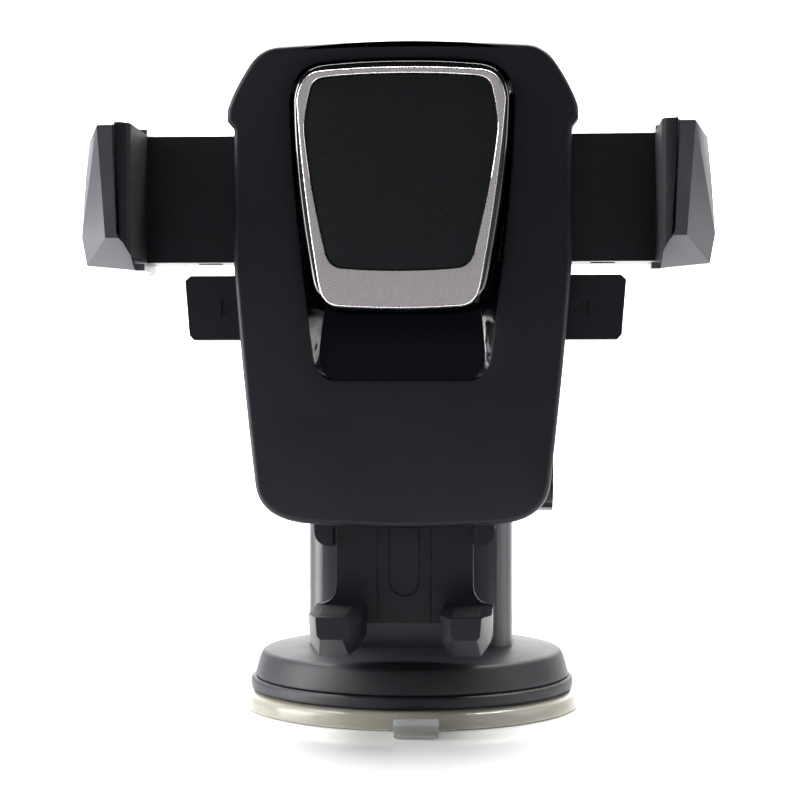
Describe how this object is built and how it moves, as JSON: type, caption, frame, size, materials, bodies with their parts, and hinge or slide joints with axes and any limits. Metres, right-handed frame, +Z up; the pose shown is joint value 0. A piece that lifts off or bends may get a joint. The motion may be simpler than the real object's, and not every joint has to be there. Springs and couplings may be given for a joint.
{
  "type": "car phone mount",
  "caption": "Suction-base car phone mount: one-touch cradle with sliding spring jaws, release tabs and pull-out foot on a ball joint and telescopic locking neck.",
  "frame": {"origin": "centre of the suction cup's underside, on the ground", "axes": "+Z up, the cradle's face and the trigger lever face -Y, +X to the right seen from the front"},
  "size_m": [0.111, 0.0782, 0.1227],
  "materials": {
    "satin_black": "satin moulded",
    "gloss_black": "high gloss",
    "silver_trim": "satin silver",
    "pad_black": "fine grained",
    "charcoal": "satin moulded",
    "rubber": "matte",
    "steel": "plated",
    "nylon": "moulded",
    "gel": "translucent gel",
    "clear_tab": "clear moulded"
  },
  "bodies": {
    "base": {"column": "charcoal", "dome": "charcoal", "base_ring": "charcoal", "gel_cup": "gel", "pull_tab": "clear_tab", "pivot_bolt": "steel", "plunger_spring": "steel", "lever_pin": "steel"},
    "plunger": {"suction_plunger": "satin_black"},
    "lever": {"suction_lever": "satin_black"},
    "knob": {"pivot_knob": "satin_black"},
    "neck": {"inner_arm": "charcoal"},
    "tube": {"outer_arm": "charcoal", "ball_stud": "steel"},
    "lock_button": {"length_lock": "satin_black"},
    "seat": {"ball_seat": "nylon"},
    "socket": {"ball_socket": "satin_black"},
    "ring": {"lock_ring": "satin_black"},
    "cradle": {"front_cover": "satin_black", "rear_housing": "satin_black", "housing_screws": "steel", "trigger_pin": "steel", "trigger_spring": "steel", "pinion_axle": "steel", "mainspring": "steel", "foot_clip": "steel"},
    "trigger": {"trigger_lever": "gloss_black", "trigger_bezel": "silver_trim", "trigger_pad": "pad_black"},
    "latch": {"latch_pawl": "steel"},
    "left_jaw_arm": {"left_arm": "satin_black", "left_jaw": "charcoal", "left_jaw_pad": "rubber"},
    "right_jaw_arm": {"right_arm": "satin_black", "right_jaw": "charcoal", "right_jaw_pad": "rubber"},
    "pinion": {"pinion_gear": "nylon"},
    "left_release": {"left_tab": "satin_black"},
    "right_release": {"right_tab": "satin_black"},
    "foot": {"foot_slider": "satin_black", "left_toe_pad": "rubber", "right_toe_pad": "rubber"}
  },
  "joints": [
    {"name": "suction_lever_swing", "type": "hinge", "parent": "base", "child": "lever", "pos_m": [0, 0.005, 0.022], "axis": [-1, 0, 0], "range_deg": [0, 60]},
    {"name": "plunger_lift", "type": "slide", "parent": "base", "child": "plunger", "axis": [0, 0, 1], "range_m": [0, 0.0015], "deforming": ["plunger_spring"]},
    {"name": "knob_turn", "type": "hinge", "parent": "base", "child": "knob", "pos_m": [0.02, 0, 0.0485], "axis": [1, 0, 0], "range_deg": [0, 180]},
    {"name": "neck_pivot", "type": "hinge", "parent": "base", "child": "neck", "pos_m": [0, 0, 0.0485], "axis": [1, 0, 0], "range_deg": [-45, 3]},
    {"name": "neck_extend", "type": "slide", "parent": "neck", "child": "tube", "axis": [0, 0, 1], "range_m": [0, 0.03]},
    {"name": "lock_press", "type": "slide", "parent": "tube", "child": "lock_button", "axis": [0, -1, 0], "range_m": [0, 0.0013], "stiffness_N_per_m": 400, "springref_m": -0.001},
    {"name": "cradle_pan", "type": "hinge", "parent": "tube", "child": "seat", "pos_m": [0, 0.001, 0.086], "axis": [0, 0, 1], "range_deg": [-8, 8]},
    {"name": "cradle_tilt", "type": "hinge", "parent": "seat", "child": "socket", "pos_m": [0, 0.001, 0.086], "axis": [-1, 0, 0], "range_deg": [-2, 15]},
    {"name": "lock_ring_turn", "type": "hinge", "parent": "socket", "child": "ring", "pos_m": [0, 0.001, 0.086], "axis": [0, 1, 0], "range_deg": [0, 90]},
    {"name": "cradle_swivel", "type": "hinge", "parent": "socket", "child": "cradle", "pos_m": [0, 0.001, 0.086], "axis": [0, 1, 0], "range_deg": [-90, 90]},
    {"name": "trigger_press", "type": "hinge", "parent": "cradle", "child": "trigger", "pos_m": [0, -0.0315, 0.1145], "axis": [1, 0, 0], "range_deg": [0, 6], "stiffness_Nm_per_rad": 0.4, "springref_deg": -2.86},
    {"name": "latch_slide", "type": "slide", "parent": "cradle", "child": "latch", "axis": [0, 1, 0], "range_m": [0, 0.003]},
    {"name": "arms_close", "type": "slide", "parent": "cradle", "child": "left_jaw_arm", "axis": [1, 0, 0], "range_m": [0, 0.013]},
    {"name": "right_arm_close", "type": "slide", "parent": "cradle", "child": "right_jaw_arm", "axis": [-1, 0, 0], "range_m": [0, 0.013]},
    {"name": "pinion_spin", "type": "hinge", "parent": "cradle", "child": "pinion", "pos_m": [0, -0.015, 0.09565], "axis": [0, 1, 0], "range_deg": [0, 82.8]},
    {"name": "left_tab_out", "type": "slide", "parent": "cradle", "child": "left_release", "axis": [-1, 0, 0], "range_m": [0, 0.00723]},
    {"name": "right_tab_out", "type": "slide", "parent": "cradle", "child": "right_release", "axis": [1, 0, 0], "range_m": [0, 0.00723]},
    {"name": "foot_retract", "type": "slide", "parent": "cradle", "child": "foot", "axis": [0, 0, 1], "range_m": [0, 0.009]}
  ],
  "couplings": [
    {"joint": "suction_lever_swing", "follows": "plunger_lift", "rad_per_m": 697},
    {"joint": "latch_slide", "follows": "trigger_press", "m_per_rad": 0.0286},
    {"joint": "right_arm_close", "follows": "arms_close", "ratio": 1},
    {"joint": "pinion_spin", "follows": "arms_close", "rad_per_m": 111.11},
    {"joint": "left_tab_out", "follows": "arms_close", "ratio": 0.5555},
    {"joint": "right_tab_out", "follows": "arms_close", "ratio": 0.5555}
  ]
}
